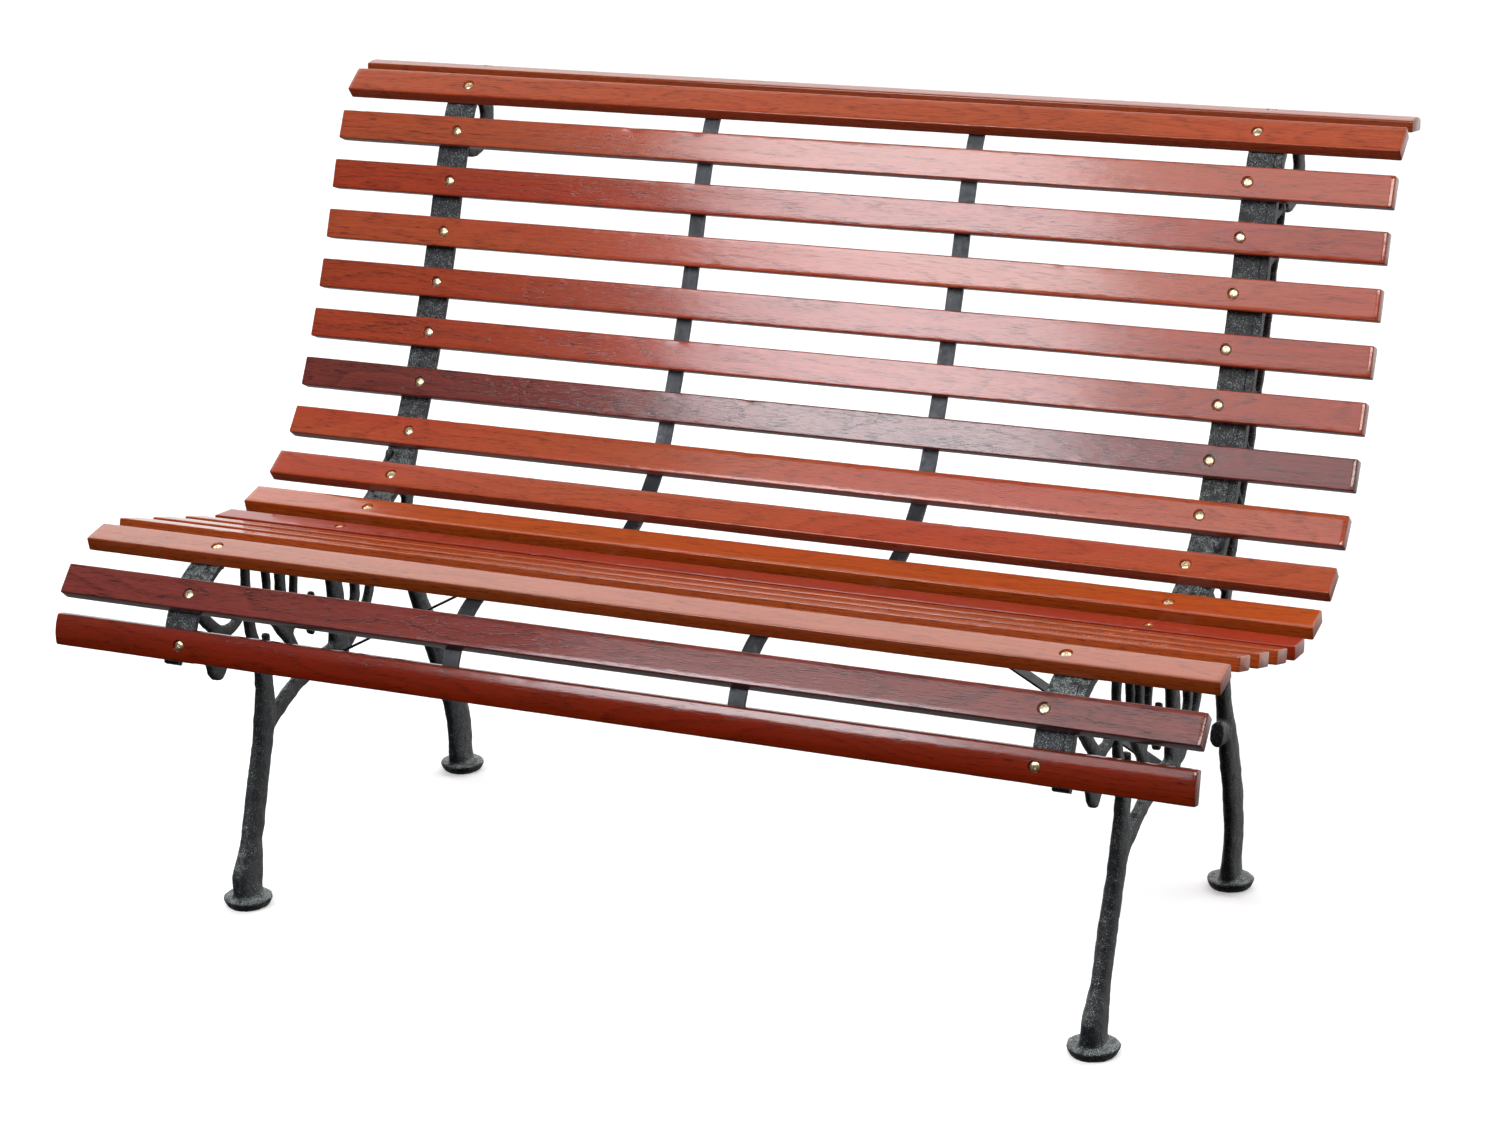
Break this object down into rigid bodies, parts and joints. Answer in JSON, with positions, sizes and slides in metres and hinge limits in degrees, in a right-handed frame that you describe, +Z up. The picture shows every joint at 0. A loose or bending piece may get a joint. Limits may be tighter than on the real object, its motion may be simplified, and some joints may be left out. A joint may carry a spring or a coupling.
{
  "type": "park bench",
  "caption": "Slatted park bench with a curved seat and high back on two cast side frames shaped like branches, with rear straps and under-seat braces.",
  "frame": {"origin": "on the ground, in the middle of the bench's footprint", "axes": "+X along the slats to the sitter's left, +Y from the seat's front to the back, +Z up"},
  "size_m": [1.4, 0.8254, 0.9294],
  "materials": {
    "slat_wood": "gloss varnish",
    "frame_iron": "rough, dark paint",
    "bar_steel": "satin dark paint",
    "screw_brass": "satin",
    "fastener_steel": "zinc plated"
  },
  "bodies": {
    "root": {"front_slat": "slat_wood", "seat_slat_1": "slat_wood", "seat_slat_2": "slat_wood", "seat_slat_3": "slat_wood", "seat_slat_4": "slat_wood", "seat_slat_5": "slat_wood", "seat_slat_6": "slat_wood", "seat_slat_7": "slat_wood", "back_slat_1": "slat_wood", "back_slat_2": "slat_wood", "back_slat_3": "slat_wood", "back_slat_4": "slat_wood", "back_slat_5": "slat_wood", "back_slat_6": "slat_wood", "back_slat_7": "slat_wood", "back_slat_8": "slat_wood", "back_slat_9": "slat_wood", "top_slat": "slat_wood", "left_side_frame": "frame_iron", "right_side_frame": "frame_iron", "left_strap": "bar_steel", "right_strap": "bar_steel", "left_brace": "bar_steel", "right_brace": "bar_steel", "slat_screws": "screw_brass", "slat_washers": "fastener_steel", "slat_nuts": "fastener_steel", "strap_screws": "fastener_steel", "brace_bolts": "fastener_steel", "brace_washers": "fastener_steel", "brace_nuts": "fastener_steel", "brace_screws": "fastener_steel"}
  },
  "joints": []
}
